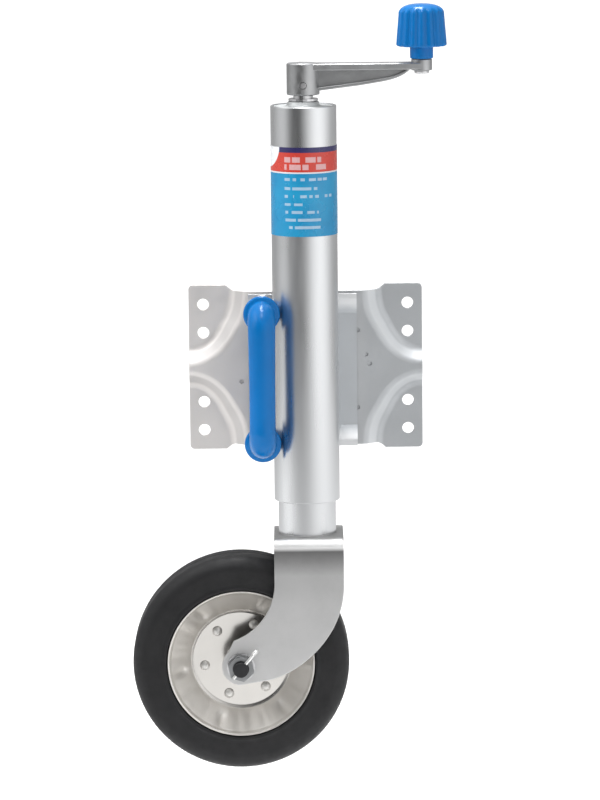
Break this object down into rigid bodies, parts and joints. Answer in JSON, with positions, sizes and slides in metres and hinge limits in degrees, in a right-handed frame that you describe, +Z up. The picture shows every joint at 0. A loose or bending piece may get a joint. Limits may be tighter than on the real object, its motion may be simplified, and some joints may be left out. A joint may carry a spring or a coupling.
{
  "type": "trailer jockey wheel jack",
  "caption": "Swing-up trailer jack: screw-driven telescopic tube with top crank, pressed bolt-on swivel bracket, sprung lock handle and castor wheel.",
  "frame": {"origin": "centre of the bracket's eight bolt holes, in the bracket's flat back plane", "axes": "+X to the right along the bracket, +Z up the jack, -Y from the bracket towards the user"},
  "size_m": [0.2935, 0.1135, 0.705],
  "materials": {
    "zinc_tube": "satin",
    "zinc_plate": "matte",
    "zinc_rim": "satin",
    "bright_steel": "satin",
    "black_steel": "satin",
    "bearing_steel": "polished",
    "bronze": "satin",
    "blue_plastic": "gloss",
    "nylon": "matte",
    "tyre_rubber": "matte",
    "label_film": "satin"
  },
  "bodies": {
    "bracket": {"base_plate": "zinc_plate", "pivot_bolt": "bright_steel", "pivot_washer": "bright_steel", "pivot_nut": "bright_steel"},
    "jack": {"swivel_plate": "zinc_plate", "outer_tube": "zinc_tube", "tube_cap": "zinc_plate", "guide_sleeve": "nylon", "label": "label_film", "pin_housing_upper": "zinc_plate", "pin_housing_lower": "zinc_plate", "pin_bush_upper": "nylon", "pin_bush_lower": "nylon", "pin_spring_upper": "bright_steel", "pin_spring_lower": "bright_steel"},
    "handle": {"lock_handle": "blue_plastic", "lock_pin_upper": "bright_steel", "lock_pin_lower": "bright_steel"},
    "crank": {"lead_screw": "bright_steel", "bearing_race_upper": "bearing_steel", "bearing_ball_ring": "bearing_steel", "bearing_race_lower": "bearing_steel", "thrust_collar": "bright_steel", "collar_pin": "bright_steel", "crank_pin": "bright_steel", "hub_washer": "bright_steel", "crank_arm": "zinc_plate", "knob_stud": "bright_steel"},
    "knob": {"crank_knob": "blue_plastic"},
    "nut": {"lead_nut": "bronze"},
    "leg": {"inner_tube": "zinc_tube", "fork": "zinc_plate", "axle_bolt": "black_steel", "axle_washer_front": "bright_steel", "axle_washer_rear": "bright_steel", "axle_nut": "bright_steel", "split_pin": "bright_steel"},
    "wheel": {"tyre": "tyre_rubber", "rim_front": "zinc_rim", "rim_rear": "zinc_rim", "wheel_bush_front": "nylon", "wheel_bush_rear": "nylon", "hub_tube": "zinc_rim", "rim_rivet_1": "zinc_rim", "rim_rivet_2": "zinc_rim", "rim_rivet_3": "zinc_rim", "rim_rivet_4": "zinc_rim", "rim_rivet_5": "zinc_rim", "rim_rivet_6": "zinc_rim"}
  },
  "joints": [
    {"name": "swing", "type": "hinge", "parent": "bracket", "child": "jack", "pos_m": [0, 0, 0], "axis": [0, 1, 0], "range_deg": [0, 90]},
    {"name": "handle_pull", "type": "slide", "parent": "jack", "child": "handle", "axis": [0, -1, 0], "range_m": [0, 0.012], "stiffness_N_per_m": 900, "springref_m": -0.004, "deforming": ["pin_spring_upper", "pin_spring_lower"]},
    {"name": "crank_turn", "type": "hinge", "parent": "jack", "child": "crank", "pos_m": [0, -0.059, 0.27], "axis": [0, 0, -1], "range_deg": [-2700, 16200]},
    {"name": "knob_spin", "type": "hinge", "parent": "crank", "child": "knob", "pos_m": [0.108, -0.059, 0.3], "axis": [0, 0, 1], "continuous": true},
    {"name": "leg_slide", "type": "slide", "parent": "jack", "child": "nut", "axis": [0, 0, -1], "range_m": [-0.03, 0.18]},
    {"name": "castor", "type": "hinge", "parent": "nut", "child": "leg", "pos_m": [0, -0.059, -0.146], "axis": [0, 0, 1], "continuous": true},
    {"name": "wheel_spin", "type": "hinge", "parent": "leg", "child": "wheel", "pos_m": [-0.0625, -0.059, -0.265], "axis": [0, 1, 0], "continuous": true}
  ],
  "couplings": [
    {"joint": "leg_slide", "follows": "crank_turn", "m_per_rad": 0.00063662}
  ]
}
